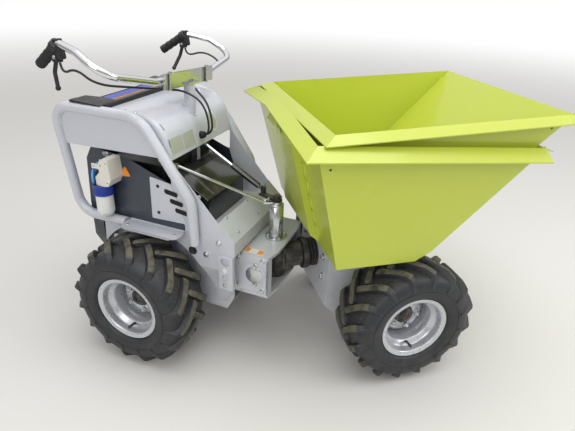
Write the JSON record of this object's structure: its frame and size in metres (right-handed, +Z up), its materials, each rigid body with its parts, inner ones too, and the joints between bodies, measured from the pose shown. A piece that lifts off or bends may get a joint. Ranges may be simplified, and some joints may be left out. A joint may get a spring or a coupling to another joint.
{
  "type": "site dumper",
  "caption": "Walk-behind articulated battery dumper on lugged tyres with a tipping lime skip, a second tub nested in it, tube loops and a wide handlebar",
  "frame": {"origin": "middle of the bounding box on the ground, in the parked, articulated pose", "axes": "+X is the way the front unit and its skip point, +Y is to their left, +Z is up"},
  "size_m": [1.5477, 1.0607, 1.0814],
  "materials": {
    "tyre": "matt",
    "wheel_silver": "satin silver paint",
    "black_steel": "black paint",
    "light_grey_paint": "satin powder coat",
    "dark_grey_paint": "satin powder coat",
    "lime_paint": "gloss powder coat",
    "black_plastic": "matt",
    "chrome_bar": "polished",
    "zinc": "bright zinc plate",
    "grip_rubber": "matt",
    "white_plastic": "satin",
    "dark_blue_plastic": "gloss",
    "light_blue_plastic": "gloss"
  },
  "bodies": {
    "rear_unit": {"rear_chassis": "light_grey_paint", "cover_plate": "light_grey_paint", "tube_loops": "light_grey_paint", "hood": "light_grey_paint", "console_pad": "black_plastic", "body_panels": "dark_grey_paint", "vent_plates": "light_grey_paint", "battery_block": "black_plastic", "battery_cover": "black_plastic", "column": "light_grey_paint", "handlebar": "chrome_bar", "bar_clamp": "zinc", "clamp_bolts": "zinc", "grips": "grip_rubber", "levers": "black_plastic", "control_cables": "black_plastic", "cable_gland": "black_plastic", "charge_inlet": "white_plastic", "charge_collar": "dark_blue_plastic", "charge_plug": "white_plastic", "lashing_plates": "zinc", "bungs": "grip_rubber", "pivot_box": "light_grey_paint", "pivot_post": "zinc", "stay_rod": "zinc", "damper_mount": "light_grey_paint", "rear_axle": "black_steel"},
    "rear_right_wheel": {"rear_right_tyre": "tyre", "rear_right_rim": "wheel_silver", "rear_right_hub": "black_steel"},
    "rear_left_wheel": {"rear_left_tyre": "tyre", "rear_left_rim": "wheel_silver", "rear_left_hub": "black_steel"},
    "front_right_wheel": {"front_right_tyre": "tyre", "front_right_rim": "wheel_silver", "front_right_hub": "black_steel"},
    "front_left_wheel": {"front_left_tyre": "tyre", "front_left_rim": "wheel_silver", "front_left_hub": "black_steel"},
    "charge_lid_body": {"charge_lid": "light_blue_plastic"},
    "knuckle_body": {"knuckle": "zinc"},
    "front_unit": {"roll_ring": "black_plastic", "front_chassis": "light_grey_paint", "front_axle": "black_steel", "tip_pins": "zinc"},
    "skip_body": {"outer_skip": "lime_paint", "inner_tub": "lime_paint"},
    "damper_barrel_body": {"damper_barrel": "black_steel"},
    "damper_rod_body": {"damper_rod": "zinc"}
  },
  "joints": [
    {"name": "articulation", "type": "hinge", "parent": "rear_unit", "child": "knuckle_body", "pos_m": [-0.0665, -0.1383, 0.345], "axis": [0, 0, 1], "range_deg": [-80, 4]},
    {"name": "frame_roll", "type": "hinge", "parent": "knuckle_body", "child": "front_unit", "pos_m": [0.0235, -0.1383, 0.345], "axis": [1, 0, 0], "range_deg": [-8, 8]},
    {"name": "skip_tip", "type": "hinge", "parent": "front_unit", "child": "skip_body", "pos_m": [0.4735, -0.1383, 0.445], "axis": [0, 1, 0], "range_deg": [0, 85]},
    {"name": "rear_right_wheel_spin", "type": "hinge", "parent": "rear_unit", "child": "rear_right_wheel", "pos_m": [-0.54621, -0.11883, 0.2275], "axis": [0.6157, 0.788, 0], "continuous": true},
    {"name": "rear_left_wheel_spin", "type": "hinge", "parent": "rear_unit", "child": "rear_left_wheel", "pos_m": [-0.20144, 0.32245, 0.2275], "axis": [0.6157, 0.788, 0], "continuous": true},
    {"name": "front_right_wheel_spin", "type": "hinge", "parent": "front_unit", "child": "front_right_wheel", "pos_m": [0.3235, -0.4183, 0.2275], "axis": [0, 1, 0], "continuous": true},
    {"name": "front_left_wheel_spin", "type": "hinge", "parent": "front_unit", "child": "front_left_wheel", "pos_m": [0.3235, 0.1417, 0.2275], "axis": [0, 1, 0], "continuous": true},
    {"name": "damper_swing", "type": "hinge", "parent": "rear_unit", "child": "damper_rod_body", "pos_m": [-0.28936, 0.06373, 0.722], "axis": [-0.081, -0.722, 0.6871], "range_deg": [-0.96, 9.75]},
    {"name": "damper_stroke", "type": "slide", "parent": "damper_rod_body", "child": "damper_barrel_body", "axis": [0.6822, -0.5427, -0.4899], "range_m": [-0.0042, 0.0652]},
    {"name": "charge_lid_hinge", "type": "hinge", "parent": "rear_unit", "child": "charge_lid_body", "pos_m": [-0.64065, 0.01205, 0.682], "axis": [0.6157, 0.788, 0], "range_deg": [0, 70]}
  ],
  "couplings": [
    {"joint": "damper_swing", "follows": "articulation", "ratio": -0.11561},
    {"joint": "damper_stroke", "follows": "articulation", "m_per_rad": -0.045999}
  ]
}
